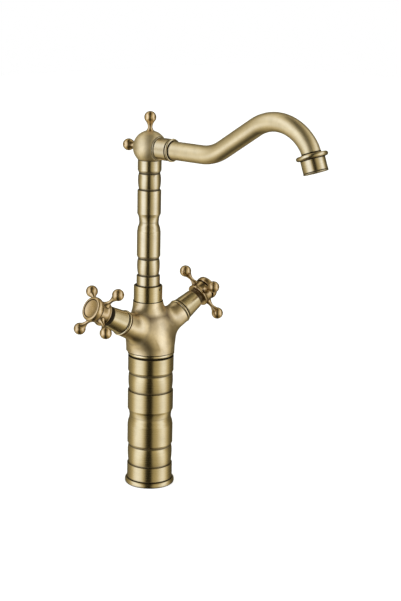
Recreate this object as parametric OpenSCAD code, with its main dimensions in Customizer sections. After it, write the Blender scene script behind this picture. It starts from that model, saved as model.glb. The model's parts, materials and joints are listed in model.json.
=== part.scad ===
// Tall two-handle mixer tap with a swivel spout, in millimetres.
// The origin is the centre of the base on the worktop, +Z is up and the front is -Y.
// The hot arm points to -X and the cold arm to +X. Threads are drawn at their plain diameters.

/* [Base and column] */
// Diameter of the base flange
flange_d = 52; // [50:0.5:55]
// Width of the base flange around the foot of the column
flange_w = 4; // [3:0.5:5]
// Height of the base flange
flange_h = 5; // [3:0.5:8]
// Diameter of the wide bands of the column
column_d = 47.6; // [46.6:0.2:49.4]
// Diameter of the column where a barrel meets a band
column_groove_d = 44.8; // [43.4:0.2:46]
// Greatest diameter of the barrels of the column
column_barrel_d = 46.7; // [46:0.1:47.5]
// Least diameter of the waist of the column
column_waist_d = 43.7; // [42.6:0.1:44.4]
// Bore of the column
column_bore_d = 40; // [38:0.5:41]
// Heights of the four bands of the column, from the bottom up
column_bands = [16.2, 20, 19.9, 16.1]; // [12:0.1:40]
// Heights of the lower and upper barrel of the column
column_barrels = [20.9, 19.4]; // [12:0.1:40]
// Height of the waist of the column
column_waist_h = 14.6; // [10:0.1:30]
// Height of the chamfer under each band of the column
column_chamfer = 2.5; // [1:0.1:4]
// Inner diameter of the ledge at the foot of the column
ledge_d = 34; // [33.6:0.1:36]
// Height of the ledge at the foot of the column above the flange
ledge_t = 1; // [1:0.5:5]
// Thickness of the plate that the fixing stud screws into
stud_plate_t = 6; // [4:0.5:12]
// Thread diameter of the fixing stud
stud_d = 8; // [5:0.5:8.5]
// Distance of the fixing stud behind the column's axis
stud_back = 12; // [11.5:0.1:12.5]
// Diameter of the two hose holes in the stud plate
hose_hole_d = 14.5; // [11:0.5:15]
// Thickness of the base gasket
gasket_t = 1.5; // [1:0.1:2.2]

/* [Valve body] */
// Diameter of the valve body at its underside
body_d = 48.8; // [47:0.2:50]
// How far the ring under the valve body stands back from the body's side
body_ring_back = 0.3; // [0.1:0.1:0.9]
// Width of the ring under the valve body, between its bore and the body's side
body_ring_w = 4.4; // [3:0.1:5]
// Height of the ring under the valve body
body_ring_h = 5; // [3.5:0.5:8]
// Length of the valve body's spigot inside the column
body_spigot_len = 11.1; // [6:0.1:16]
// Diameter of the round centre of the valve body
body_core_d = 46; // [44:0.5:47]
// Height above the body's underside where the arm axes meet
arm_rise = 14.7; // [13:0.1:20]
// Angle of the arms above the horizontal
arm_angle = 28; // [24:1:32]
// Diameter of the arms
arm_d = 26.4; // [25.4:0.2:28]
// Length of each arm from where the axes meet
arm_len = 42; // [42:0.5:50]
// Diameter of the neck that holds the swivel collar
neck_d = 31; // [30:0.5:34]
// Height of the top of the neck above the body's underside
neck_h = 51.9; // [50:0.1:60]
// Distance of the post behind the column's axis
post_back = 6; // [4:0.5:7]
// Distance between the centres of the two hose ports
port_spacing = 19; // [16.5:0.5:19.5]
// Diameter of the hose ports, for an M10 fine thread
port_d = 9; // [8:0.5:9.5]
// Threaded depth of the hose ports
port_depth = 12; // [8:1:16]
// Diameter of the waterways inside the body
waterway_d = 7; // [5:0.5:8]
// Diameter of the passage from each valve to the socket of the post
mix_d = 4; // [3:0.2:4.4]

/* [Valves] */
// Diameter of the bore in each arm that holds a valve
chamber_d = 20; // [19.6:0.2:21]
// Depth of the bore in each arm
chamber_depth = 20; // [19:0.5:21]
// Diameter of the ceramic discs
disc_d = 16.6; // [15:0.2:17]
// Thickness of each ceramic disc
disc_t = 3; // [2:0.25:3.5]
// Diameter of the holes in the ceramic discs
disc_hole_d = 4.8; // [3:0.2:5]
// Distance of the holes in the ceramic discs from the axis
disc_hole_out = 4.5; // [4:0.1:5]
// Diameter of the rubber seal under the discs
seal_d = 12.8; // [11:0.2:13]
// Thickness of the rubber seal under the discs
seal_t = 1.5; // [1:0.25:2]
// Diameter of the valve spindle
spindle_d = 8; // [6:0.5:9]
// Diameter of the neck of the valve around the spindle
valve_neck_d = 13; // [11.5:0.5:14]
// Diameter of the valve's collar on the end of the arm
valve_collar_d = 21; // [20.5:0.1:21.5]
// Width of the ring on the end of each arm
arm_ring_w = 4.5; // [2:0.5:5]
// Diameter of the ring on the end of each arm
arm_ring_d = 26.8; // [26:0.2:29]
// Length of the tapered bonnet
bonnet_len = 20.5; // [20:0.5:32]
// Diameter of the bonnet at its ring
bonnet_big_d = 24.9; // [24.2:0.1:26]
// Diameter of the bonnet at the handle
bonnet_small_d = 20.5; // [19.5:0.1:22]
// Inner diameter of the bonnet above the valve's collar
bonnet_bore_d = 17; // [15:0.5:17.5]
// Thickness of the bonnet's end wall
bonnet_end_t = 2.5; // [1.5:0.5:4]

/* [Handles] */
// Distance from the hub's axis to the centre of each ball
handle_reach = 28.3; // [26:0.1:36]
// Diameter of the balls of the handles
handle_ball_d = 12.2; // [10:0.2:14]
// Least diameter of the spokes
spoke_d = 3.8; // [3:0.1:5]
// Diameter of the foot of each spoke
spoke_foot_d = 7.8; // [6.5:0.1:8.4]
// Diameter of the thread of each spoke
spoke_stud_d = 5; // [4:0.5:6]
// Diameter of the neck at the back of the hub
hub_neck_d = 16.4; // [14:0.2:20]
// Diameter of the flange of the hub
hub_flange_d = 25.5; // [24.5:0.1:28]
// Diameter of the drum of the hub
hub_drum_d = 23; // [22.4:0.1:24]
// Length of the neck at the back of the hub
hub_neck_len = 4.2; // [2:0.2:5]
// Width of the flange of the hub
hub_flange_w = 1.6; // [1.2:0.2:3]
// Length of the drum of the hub
hub_drum_len = 9.8; // [9.4:0.2:14]
// Diameter of the domed cap
cap_d = 25.6; // [23.6:0.1:26]
// Length of the domed cap in front of the drum
cap_len = 7.4; // [5:0.2:9]
// Diameter of the dish in the face of the cap
cap_dish_d = 19; // [16:0.2:20.4]
// Thread diameter of the handle screw
handle_screw_d = 4; // [3:0.5:4.5]
// Turn of the hot handle's spokes about its arm
hot_turn = 51; // [0:1:89]
// Turn of the cold handle's spokes about its arm
cold_turn = 63; // [0:1:89]

/* [Post] */
// Diameter of the swivel collar
collar_d = 29.6; // [28:0.2:31]
// Height of the swivel collar
collar_h = 16.5; // [13:0.5:24]
// Diameter of the recess in the top of the swivel collar
recess_d = 26.4; // [25.4:0.2:27]
// Depth of the recess in the top of the swivel collar
recess_h = 1.2; // [0.8:0.1:1.4]
// Thread diameter of the grub screw in the collar
grub_d = 3; // [2:0.5:4]
// Turn of the grub screw from the front towards the cold side
grub_turn = 16; // [-60:1:60]
// Diameter of the wide bands of the post
post_d = 24.2; // [23.6:0.1:25]
// Diameter of the post where a barrel meets a band
post_groove_d = 21.3; // [20.6:0.1:22.5]
// Greatest diameter of the barrels of the post
post_barrel_d = 23.5; // [23:0.1:24]
// Least diameter of the waist of the post
post_waist_d = 20; // [19:0.1:21]
// Bore of the post
post_bore_d = 14; // [10:0.5:14.5]
// Diameter of the socket that the post turns in
socket_d = 20; // [19.4:0.1:20.6]
// Length of the post's spigot inside the neck
spigot_in_neck = 12.5; // [11:0.5:15]
// Heights of the four bands of the post, from the bottom up
post_bands = [10.7, 25.4, 24, 10.9]; // [4:0.1:40]
// Heights of the lower and upper barrel of the post
post_barrels = [17.9, 17.4]; // [10:0.1:40]
// Height of the waist of the post
post_waist_h = 15.5; // [8:0.1:30]
// Height of the chamfer under each band of the post
post_chamfer = 3; // [1:0.1:5]
// Diameter of the ball elbow
ball_d = 34.4; // [33.8:0.2:40]
// Diameter of the balls of the two finials
finial_ball_d = 12.2; // [10:0.2:15]
// Least diameter of the necks of the finials
finial_neck_d = 4.8; // [3.5:0.1:6]
// Distance from the ball elbow's centre to the centre of the top finial's ball
top_finial_reach = 30.4; // [29:0.2:40]
// Distance from the ball elbow's centre to the centre of the rear finial's ball
rear_finial_reach = 29; // [28:0.2:40]

/* [Spout] */
// Turn of the spout from the front towards the cold side
spout_swing = 8; // [-180:1:180]
// Diameter of the hub between the ball elbow and the tube
spout_hub_d = 22.6; // [22.2:0.1:24]
// Length of the hub in front of the ball elbow
spout_hub_len = 19.5; // [15:0.5:30]
// Outer diameter of the spout tube
tube_d = 18.4; // [16:0.1:19]
// Bore of the spout tube
tube_bore_d = 15.6; // [12:0.1:15.8]
// Depth of the tube in the hub
tube_socket = 8; // [5:0.5:10]
// Distance from the post's axis to the start of the first bend
root_run = 68.6; // [45:0.1:120]
// Angle at which the tube rises
rise_angle = 33; // [15:1:45]
// Radius of the first bend
rise_bend_r = 48; // [25:1:80]
// Length of the straight stretch between the bends
rise_run = 46.2; // [10:0.1:80]
// Radius of the high bow
bow_r = 45.8; // [30:0.1:70]
// Angle below the horizontal at the end of the high bow
bow_drop = 49.5; // [30:0.5:60]
// Length of the straight stretch between the high bow and the tip's bend
tip_run = 1; // [0.5:0.5:20]
// Radius of the tight bend at the tip
tip_r = 28; // [20:1:40]
// Angle that the tight bend turns through
tip_angle = 20.5; // [5:0.5:28]
// Diameter of the rounded rim of the aerator housing
rim_d = 30.5; // [28:0.5:36]
// Height of the rounded rim
rim_h = 4.6; // [4.2:0.2:7]
// Diameter of the aerator housing below the rim
aerator_d = 23.6; // [23:0.2:27]
// Length of the aerator housing below the rim
aerator_len = 13.5; // [11:0.5:20]

/* [Fits] */
// Radial gap between pieces that are screwed or pressed together
seat_gap = 0.05; // [0.02:0.01:0.08]
// Radial gap of the turning fits
turn_gap = 0.05; // [0.03:0.01:0.08]
// Gap between faces that move past each other
face_gap = 0.3; // [0.2:0.05:0.5]

/* [Hidden] */
$fn = 96;

BRASS = [0.66, 0.55, 0.33];
BRIGHT = [0.80, 0.70, 0.47];
STEEL = [0.72, 0.72, 0.70];
RUBBER = [0.12, 0.12, 0.12];
CERAMIC = [0.92, 0.92, 0.90];
PLASTIC = [0.85, 0.86, 0.86];
HOT = -1;
COLD = 1;
ROUND_STEPS = 6;
ARC_STEPS = 8;

// Sum of the first n values of a list
function sum_to(v, n) = n == 0 ? 0 : v[n - 1] + sum_to(v, n - 1);

// Heights of a turned column's parts from the bottom up: band, barrel, chamfer, band, waist and so on
function turned_parts(bands, barrels, waist_h, chamfer) = [
    bands[0], barrels[0], chamfer, bands[1], waist_h, chamfer, bands[2], barrels[1], chamfer, bands[3]
];

column_parts = turned_parts(column_bands, column_barrels, column_waist_h, column_chamfer);
post_parts = turned_parts(post_bands, post_barrels, post_waist_h, post_chamfer);

// Heights of the stack, from the worktop up
foot_lift = 0.5;
body_ring_d = body_d - 2 * body_ring_back;
ring_bore_d = body_d - 2 * body_ring_w;
ring_lead = 0.5;
plate_z = flange_h + ledge_t;
column_top = flange_h + sum_to(column_parts, 10);
body_z = column_top + body_ring_h;
arm_z = body_z + arm_rise;
neck_top = body_z + neck_h;
collar_top = neck_top + collar_h;
washer_t = 0.6;
washer_z = collar_top - recess_h;
post_z = washer_z + washer_t + face_gap;
post_top = post_z + sum_to(post_parts, 10);

// The post's seat on the ball elbow, and the hub's, are flats just wider than the bands
ball_seat = sqrt(pow(ball_d / 2, 2) - pow(post_d / 2 + 0.2, 2));
ball_z = post_top + ball_seat;
nipple_d = post_bore_d + 4;
nipple_len = 2.5;

// Base
foot_d = flange_d - 2 * flange_w;
gasket_w = (flange_d - foot_d) / 4;
gasket_mid_d = (flange_d + foot_d) / 2;

// Socket of the post in the neck
counterbore_d = socket_d + 5;
counterbore_h = 6;
spigot_z = neck_top - spigot_in_neck;
socket_floor = arm_z + 11;
o_ring_section = 2;
o_ring_bed_d = socket_d - 1.6 * o_ring_section;
o_ring_z = [spigot_z + 2.6, spigot_z + 5.4];
grub_z = collar_top - 3.2;
grub_groove_depth = 1.2;
grub_groove_w = grub_d + 2 * face_gap + 0.4;

// Places along an arm, from where the axes meet
chamber_floor = arm_len - chamber_depth;
fixed_disc_z = chamber_floor + seal_t;
moving_disc_z = fixed_disc_z + disc_t + face_gap / 2;
moving_disc_d = disc_d - 2 * face_gap;
foot_z = moving_disc_z + disc_t;
foot_t = 2.5;
cage_top = foot_z + foot_t + face_gap;
cage_d = disc_d + 1.8;
ring_end = arm_len + arm_ring_w;
valve_collar_end = ring_end + 4.3;
bonnet_end = ring_end + bonnet_len;
hub_back = bonnet_end + face_gap + 0.1;
drum_z = hub_back + hub_neck_len + hub_flange_w;
drum_end = drum_z + hub_drum_len;
spoke_z = drum_z + 0.53 * hub_drum_len;
web_t = 1.5;
web_z = drum_end - 3.6;
screw_depth = 8;
spoke_seat = hub_drum_d / 2 - 0.9;
spoke_stud_len = 0.6 * spoke_stud_d;
cap_spigot_d = 18;
o_ring_at = bonnet_end - 12;

// Seats and studs of the finials
finial_foot_d = 9.6;
finial_stud_d = 4;
finial_stud_len = 3;
finial_seat = sqrt(pow(ball_d / 2, 2) - pow(finial_foot_d / 2 + 0.2, 2));

// Flow insert
aerator_wall = 1.4;
insert_d = aerator_d - 2 * aerator_wall;
aerator_gasket_t = 1.5;

// Spout: each stretch of the tube is [radius or length, angle turned], with angle 0 where it is straight
tail_len = 4;
tube_hair = 0.1;
tube_lap = 0.3;
tube_seat_d = tube_d + 2 * tube_hair + 2 * seat_gap;
tube_start = ball_seat + spout_hub_len - tube_socket;
tube_runs = [
    [root_run - tube_start, 0], [rise_bend_r, rise_angle], [rise_run, 0],
    [bow_r, -rise_angle - bow_drop], [tip_run, 0], [tip_r, -tip_angle], [tail_len, 0]
];

// Place and slope [x, z, angle] at the end of a stretch that starts at such a place
function run_end(at, run) = run[1] == 0
    ? [at[0] + run[0] * cos(at[2]), at[1] + run[0] * sin(at[2]), at[2]]
    : let (end = at[2] + run[1], side = sign(run[1]))
      [at[0] + side * run[0] * (sin(end) - sin(at[2])),
       at[1] - side * run[0] * (cos(end) - cos(at[2])), end];

// Place and slope where the stretch with number i starts
function run_start(i) = i == 0 ? [tube_start, 0, 0] : run_end(run_start(i - 1), tube_runs[i - 1]);

// Points between two points [radius, height] of a turned profile, swelling by a given amount halfway
function swell(a, b, amount) = [
    for (i = [0 : ARC_STEPS])
        let (t = i / ARC_STEPS)
        [a[0] + (b[0] - a[0]) * t + 4 * amount * t * (1 - t), a[1] + (b[1] - a[1]) * t]
];

// Quarter round from a first to a second angle about a centre [radius, height]
function rounded(centre, r, from, to) = [
    for (i = [0 : ROUND_STEPS])
        let (a = from + (to - from) * i / ROUND_STEPS)
        [centre[0] + r * cos(a), centre[1] + r * sin(a)]
];

// Outer profile of the column or the post: bands, two barrels and a waist, with the top band last
function turned_profile(z, parts, band_d, groove_d, barrel_d, waist_d) =
    let (
        h = [for (i = [0 : 10]) z + sum_to(parts, i)],
        band = band_d / 2,
        groove = groove_d / 2,
        belly = (barrel_d - groove_d) / 2,
        lip = 0.3,
        flare = band - lip,
        pinch = waist_d / 2 - (groove + flare) / 2
    )
    concat(
        [[band, h[0]], [band, h[1] - lip], [band - lip, h[1]]],
        swell([groove, h[1]], [groove, h[2]], belly),
        [[band - lip, h[3] - lip], [band, h[3]], [band, h[4]]],
        swell([flare, h[4]], [groove, h[5]], pinch),
        [[band - lip, h[6] - lip], [band, h[6]], [band, h[7] - lip], [band - lip, h[7]]],
        swell([groove, h[7]], [groove, h[8]], belly),
        [[band - lip, h[9] - lip], [band, h[9]], [band, h[10]]]
    );

// Solid turned from points [radius, height]
module turned(points) {
    rotate_extrude() polygon(points);
}

// Ring with a bore, standing at height z
module ring(d, bore, h, z = 0) {
    translate([0, 0, z]) rotate_extrude() translate([bore / 2, 0]) square([(d - bore) / 2, h]);
}

// Round ring of round section
module o_ring(mid_d, section) {
    rotate_extrude() translate([mid_d / 2, 0]) circle(d = section, $fn = 32);
}

// Cylinder that cuts a hole from height z
module hole(d, h, z = 0) {
    translate([0, 0, z]) cylinder(d = d, h = h);
}

// Frame of an arm: Z runs out along the arm
module on_arm(side) {
    translate([0, 0, arm_z]) rotate([0, side * (90 - arm_angle), 0]) children();
}

// Frame of the ball elbow: X runs out along the spout
module on_spout() {
    translate([0, post_back, ball_z]) rotate([0, 0, spout_swing - 90]) children();
}

// Frame of the end of the spout tube: Z runs out of the rim
module on_tip() {
    end = run_start(len(tube_runs) - 1);
    on_spout() translate([end[0], 0, end[1]]) rotate([0, 90 - end[2], 0]) children();
}

module base_gasket() {
    color(RUBBER) ring(gasket_mid_d + gasket_w, gasket_mid_d - gasket_w, gasket_t);
}

module base_flange() {
    edge = 1.5;
    color(BRASS) difference() {
        turned(concat(
            [[foot_d / 2 + seat_gap, 0], [flange_d / 2 - 0.5, 0], [flange_d / 2, 0.5]],
            rounded([flange_d / 2 - edge, flange_h - edge], edge, 0, 90),
            [[foot_d / 2 + seat_gap, flange_h]]
        ));
        ring(gasket_mid_d + gasket_w, gasket_mid_d - gasket_w, gasket_t + 1, -1);
    }
}

module column() {
    color(BRASS) turned(concat(
        [[ledge_d / 2, foot_lift], [foot_d / 2, foot_lift], [foot_d / 2, flange_h]],
        turned_profile(flange_h, column_parts, column_d, column_groove_d, column_barrel_d, column_waist_d),
        [[column_bore_d / 2, column_top], [column_bore_d / 2, plate_z], [ledge_d / 2, plate_z]]
    ));
}

module stud_plate() {
    color(STEEL) difference() {
        hole(column_bore_d - 2 * seat_gap, stud_plate_t, plate_z);
        translate([0, stud_back, 0]) hole(stud_d, stud_plate_t + 2, plate_z - 1);
        for (side = [HOT, COLD])
            translate([side * port_spacing / 2, 0, 0]) hole(hose_hole_d, stud_plate_t + 2, plate_z - 1);
    }
}

// Ring with a rounded bead above a narrow groove
module body_ring() {
    r = body_ring_d / 2;
    edge = 1.1;
    groove = 1.2;
    bed = r - edge - 0.2;
    color(BRIGHT) turned(concat(
        [[column_bore_d / 2, column_top], [bed, column_top], [bed, column_top + groove]],
        rounded([r - edge, column_top + groove + edge], edge, -90, 0),
        rounded([r - edge, body_z - edge], edge, 0, 90),
        [[ring_bore_d / 2, body_z], [ring_bore_d / 2, column_top + ring_lead]]
    ));
}

// Casting with two arms, a neck and all its waterways
module valve_body() {
    port_x = port_spacing / 2;
    elbow_z = arm_z + port_x * tan(arm_angle);
    overrun = 2.5;
    spigot_end = body_z - body_spigot_len;
    shoulder = 0.6;
    mix_out = 7;
    mix_back = 5;
    mix_start = 10;
    color(BRASS) difference() {
        union() {
            turned([
                [0, spigot_end], [column_bore_d / 2 - seat_gap, spigot_end],
                [column_bore_d / 2 - seat_gap, column_top],
                [ring_bore_d / 2 - seat_gap, column_top + ring_lead], [ring_bore_d / 2 - seat_gap, body_z],
                [body_d / 2 - shoulder, body_z],
                [body_d / 2, body_z + shoulder], [body_d / 2, arm_z - 5], [body_core_d / 2 - 1, arm_z + 2],
                [0, arm_z + 2]
            ]);
            translate([0, 0, arm_z]) sphere(d = body_core_d);
            for (side = [HOT, COLD]) on_arm(side) cylinder(d = arm_d, h = arm_len);
            translate([0, post_back, arm_z]) cylinder(d = neck_d, h = neck_top - arm_z);
        }
        for (side = [HOT, COLD]) {
            translate([side * port_x, 0, 0]) {
                hole(port_d, port_depth + 1, spigot_end - 1);
                hole(waterway_d, elbow_z - spigot_end + overrun, spigot_end);
            }
            on_arm(side) {
                hole(waterway_d, chamber_floor, port_x / cos(arm_angle) - overrun);
                translate([-side * mix_out, mix_back, mix_start])
                    cylinder(d = mix_d, h = chamber_floor - mix_start + 1);
                hole(chamber_d, chamber_depth + 1, chamber_floor);
            }
        }
        translate([0, post_back, 0]) {
            hole(socket_d, neck_top - socket_floor + 1, socket_floor);
            hole(counterbore_d, counterbore_h + 1, neck_top - counterbore_h);
        }
    }
}

// Ring with a rounded bead between two narrow grooves
module arm_ring() {
    r = arm_ring_d / 2;
    edge = 0.8;
    groove = 0.5;
    bed = r - edge - 0.2;
    color(BRIGHT) turned(concat(
        [[valve_collar_d / 2 + seat_gap, arm_len], [bed, arm_len], [bed, arm_len + groove]],
        rounded([r - edge, arm_len + groove + edge], edge, -90, 0),
        rounded([r - edge, ring_end - groove - edge], edge, 0, 90),
        [[bed, ring_end - groove], [bed, ring_end], [valve_collar_d / 2 + seat_gap, ring_end]]
    ));
}

// Brass body of the valve: a cage for the discs, a threaded part, a collar and a neck
module cartridge() {
    window_w = 7;
    neck_end = bonnet_end - 0.5;
    color(BRIGHT) difference() {
        turned([
            [0, chamber_floor], [cage_d / 2, chamber_floor], [cage_d / 2, cage_top + 1],
            [chamber_d / 2 - seat_gap, cage_top + 1], [chamber_d / 2 - seat_gap, arm_len],
            [valve_collar_d / 2, arm_len], [valve_collar_d / 2, valve_collar_end],
            [valve_neck_d / 2, valve_collar_end], [valve_neck_d / 2, neck_end], [0, neck_end]
        ]);
        hole(disc_d + 2 * seat_gap, cage_top - chamber_floor + 1, chamber_floor - 1);
        hole(spindle_d + 2 * turn_gap, bonnet_end, chamber_floor);
        translate([-window_w / 2, -cage_d, moving_disc_z])
            cube([window_w, 2 * cage_d, cage_top - moving_disc_z]);
    }
}

module seat_seal() {
    color(RUBBER) ring(seal_d, waterway_d + 2, seal_t, chamber_floor);
}

// Ceramic disc with two holes, turned about the arm
module valve_disc(d, z, turn) {
    color(CERAMIC) difference() {
        hole(d, disc_t, z);
        for (flip = [0, 180])
            rotate([0, 0, turn + flip]) translate([disc_hole_out, 0, 0])
                hole(disc_hole_d, disc_t + 2, z - 1);
    }
}

module spindle() {
    groove_h = o_ring_section + 0.2;
    color(BRIGHT) difference() {
        turned([
            [0, foot_z], [moving_disc_d / 2, foot_z], [moving_disc_d / 2, foot_z + foot_t],
            [spindle_d / 2, foot_z + foot_t], [spindle_d / 2, o_ring_at - groove_h / 2],
            [spindle_d / 2 - o_ring_section / 2, o_ring_at - groove_h / 2],
            [spindle_d / 2 - o_ring_section / 2, o_ring_at + groove_h / 2],
            [spindle_d / 2, o_ring_at + groove_h / 2], [spindle_d / 2, web_z], [0, web_z]
        ]);
        hole(handle_screw_d, screw_depth + 1, web_z - screw_depth);
    }
}

module spindle_o_ring() {
    section = o_ring_section / 2;
    color(RUBBER) translate([0, 0, o_ring_at]) o_ring(spindle_d - section, section);
}

module bonnet() {
    edge = 0.6;
    taper = (bonnet_big_d - bonnet_small_d) / 2;
    color(BRASS) turned([
        [valve_collar_d / 2 + seat_gap, ring_end], [bonnet_big_d / 2, ring_end],
        [bonnet_small_d / 2 + taper * edge / bonnet_len, bonnet_end - edge],
        [bonnet_small_d / 2 - edge, bonnet_end], [valve_neck_d / 2 + seat_gap, bonnet_end],
        [valve_neck_d / 2 + seat_gap, bonnet_end - bonnet_end_t],
        [bonnet_bore_d / 2, bonnet_end - bonnet_end_t], [bonnet_bore_d / 2, valve_collar_end + 0.2],
        [valve_collar_d / 2 + seat_gap, valve_collar_end + 0.2]
    ]);
}

// Hub of a cross handle, with a seat and a threaded hole for each spoke
module handle_hub(turn) {
    neck = hub_neck_d / 2;
    drum = hub_drum_d / 2;
    flange_z = hub_back + hub_neck_len;
    edge = hub_flange_w / 2;
    color(BRASS) difference() {
        turned(concat(
            [[spindle_d / 2 + seat_gap, hub_back], [neck - 0.5, hub_back], [neck, hub_back + 0.5],
             [neck, flange_z]],
            rounded([hub_flange_d / 2 - edge, flange_z + edge], edge, -90, 90),
            swell([hub_flange_d / 2 - 0.8, drum_z], [drum - 0.1, drum_z + 3.4], -0.2),
            [[drum, drum_end - 0.4]],
            [[drum - 0.4, drum_end], [cap_spigot_d / 2 + seat_gap, drum_end],
             [cap_spigot_d / 2 + seat_gap, web_z + web_t], [handle_screw_d / 2 + seat_gap, web_z + web_t],
             [handle_screw_d / 2 + seat_gap, web_z], [spindle_d / 2 + seat_gap, web_z]]
        ));
        for (k = [0 : 3]) on_spoke(turn + 90 * k) {
            hole(spoke_foot_d + 2 * seat_gap, drum, spoke_seat);
            hole(spoke_stud_d, spoke_stud_len + 0.5, spoke_seat - spoke_stud_len - 0.3);
        }
    }
}

// Frame of a spoke: Z runs out from the hub's axis
module on_spoke(turn) {
    translate([0, 0, spoke_z]) rotate([0, 90, turn]) children();
}

// Waisted spoke with a threaded stud at its foot and a ball on its end
module spoke() {
    r = spoke_d / 2;
    ball = handle_ball_d / 2;
    cup = spoke_d * 0.42 + ball * 0.38;
    cup_z = handle_reach - sqrt(ball * ball - cup * cup);
    foot_end = spoke_seat + 0.42 * spoke_d;
    union() {
        turned(concat(
            [[0, spoke_seat - spoke_stud_len], [spoke_stud_d / 2 - seat_gap, spoke_seat - spoke_stud_len],
             [spoke_stud_d / 2 - seat_gap, spoke_seat], [spoke_foot_d / 2, spoke_seat],
             [spoke_foot_d / 2, foot_end]],
            swell([1.7 * r, foot_end + 0.3 * r], [r, (foot_end + cup_z) / 2], -0.4),
            swell([r, (foot_end + cup_z) / 2 + 0.2 * r], [cup, cup_z], -0.35),
            [[0, handle_reach]]
        ));
        translate([0, 0, handle_reach]) sphere(d = handle_ball_d);
    }
}

module handle_spokes(turn) {
    color(BRASS) for (k = [0 : 3]) on_spoke(turn + 90 * k) spoke();
}

module handle_screw() {
    head_d = 7.6;
    head_h = 1.8;
    head_z = web_z + web_t;
    r = handle_screw_d / 2 - seat_gap;
    tip = web_z - screw_depth + 1;
    color(STEEL) difference() {
        turned([
            [0, tip], [r, tip], [r, head_z], [head_d / 2, head_z],
            [head_d / 2, head_z + head_h - 0.6], [head_d / 2 - 0.6, head_z + head_h], [0, head_z + head_h]
        ]);
        translate([0, 0, head_z + head_h - 1]) cylinder(d = 2.5, h = 2, $fn = 6);
    }
}

// Cap with a rounded rim, a shallow dish in its face and a spigot that presses into the hub
module handle_cap() {
    r = cap_d / 2;
    dish = cap_dish_d / 2;
    end = drum_end + cap_len;
    rim = 1.2;
    spigot_len = 1.6;
    groove = 0.5;
    color(BRASS) turned(concat(
        [[0, drum_end], [cap_spigot_d / 2 - 1.6, drum_end], [cap_spigot_d / 2 - 1.6, drum_end - spigot_len],
         [cap_spigot_d / 2, drum_end - spigot_len], [cap_spigot_d / 2, drum_end], [r - 1.4, drum_end],
         [r - 1.4, drum_end + groove]],
        swell([r - 0.3, drum_end + groove], [r - 0.6, end - rim], 0.35),
        rounded([r - 0.6 - rim, end - rim], rim, 0, 90),
        [[dish + 0.3, end], [dish, end - 0.9]],
        swell([dish - 0.5, end - 0.9], [0, end - 1.5], 0),
        [[0, end - 1.5]]
    ));
}

module swivel_collar() {
    r = collar_d / 2;
    edge = 0.5;
    color(BRASS) difference() {
        translate([0, post_back, 0]) turned([
            [socket_d / 2, neck_top - counterbore_h],
            [counterbore_d / 2 - seat_gap, neck_top - counterbore_h],
            [counterbore_d / 2 - seat_gap, neck_top], [r - edge, neck_top], [r, neck_top + edge],
            [r, collar_top - edge], [r - edge, collar_top], [recess_d / 2, collar_top],
            [recess_d / 2, washer_z], [socket_d / 2, washer_z]
        ]);
        on_grub() hole(grub_d, collar_d, socket_d / 4);
    }
}

// Frame of the grub screw: Z runs out from the post's axis
module on_grub() {
    translate([0, post_back, grub_z]) rotate([0, 90, grub_turn - 90]) children();
}

module swivel_grub_screw() {
    tip = socket_d / 2 - grub_groove_depth + face_gap;
    back = collar_d / 2 - 0.8;
    color(STEEL) on_grub() difference() {
        turned([
            [0, tip], [grub_d / 4, tip], [grub_d / 2 - seat_gap, tip + grub_d / 4],
            [grub_d / 2 - seat_gap, back], [0, back]
        ]);
        translate([0, 0, back - 1.2]) cylinder(d = grub_d / 2, h = 2, $fn = 6);
    }
}

module swivel_washer() {
    color(PLASTIC) translate([0, post_back, 0]) ring(post_d - 1, socket_d, washer_t, washer_z);
}

// Turned post with its spigot, two ring grooves, the grub screw's groove and a nipple on top
module post() {
    r = socket_d / 2 - turn_gap;
    o_groove_h = o_ring_section + 0.3;
    color(BRASS) translate([0, post_back, 0]) difference() {
        turned(concat(
            [[post_bore_d / 2, spigot_z], [r - 0.5, spigot_z], [r, spigot_z + 0.5], [r, post_z]],
            turned_profile(post_z, post_parts, post_d, post_groove_d, post_barrel_d, post_waist_d),
            [[nipple_d / 2, post_top], [nipple_d / 2, post_top + nipple_len],
             [post_bore_d / 2, post_top + nipple_len]]
        ));
        for (z = o_ring_z) ring(socket_d + 2, o_ring_bed_d, o_groove_h, z - o_groove_h / 2);
        ring(socket_d + 2, socket_d - 2 * grub_groove_depth, grub_groove_w, grub_z - grub_groove_w / 2);
    }
}

module post_o_rings() {
    section = (socket_d - o_ring_bed_d) / 2 - turn_gap;
    color(RUBBER) for (z = o_ring_z) translate([0, post_back, z]) o_ring(o_ring_bed_d + section, section);
}

// Hollow ball with flat seats for the post, the hub and the two finials
module ball_elbow() {
    big = 2 * ball_d;
    cavity_d = ball_d - 9;
    color(BRASS) on_spout() difference() {
        sphere(d = ball_d);
        translate([-ball_d, -ball_d, -ball_seat - big]) cube(big);
        translate([ball_seat, -ball_d, -ball_d]) cube(big);
        translate([-ball_d, -ball_d, finial_seat]) cube(big);
        translate([-finial_seat - big, -ball_d, -ball_d]) cube(big);
        sphere(d = cavity_d);
        translate([0, 0, -ball_d]) cylinder(d = nipple_d + 2 * seat_gap, h = ball_d);
        rotate([0, 90, 0]) cylinder(d = nipple_d + 2 * seat_gap, h = ball_d);
        hole(finial_stud_d, finial_stud_len + 1, finial_seat - finial_stud_len);
        rotate([0, -90, 0]) hole(finial_stud_d, finial_stud_len + 1, finial_seat - finial_stud_len);
    }
}

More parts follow.
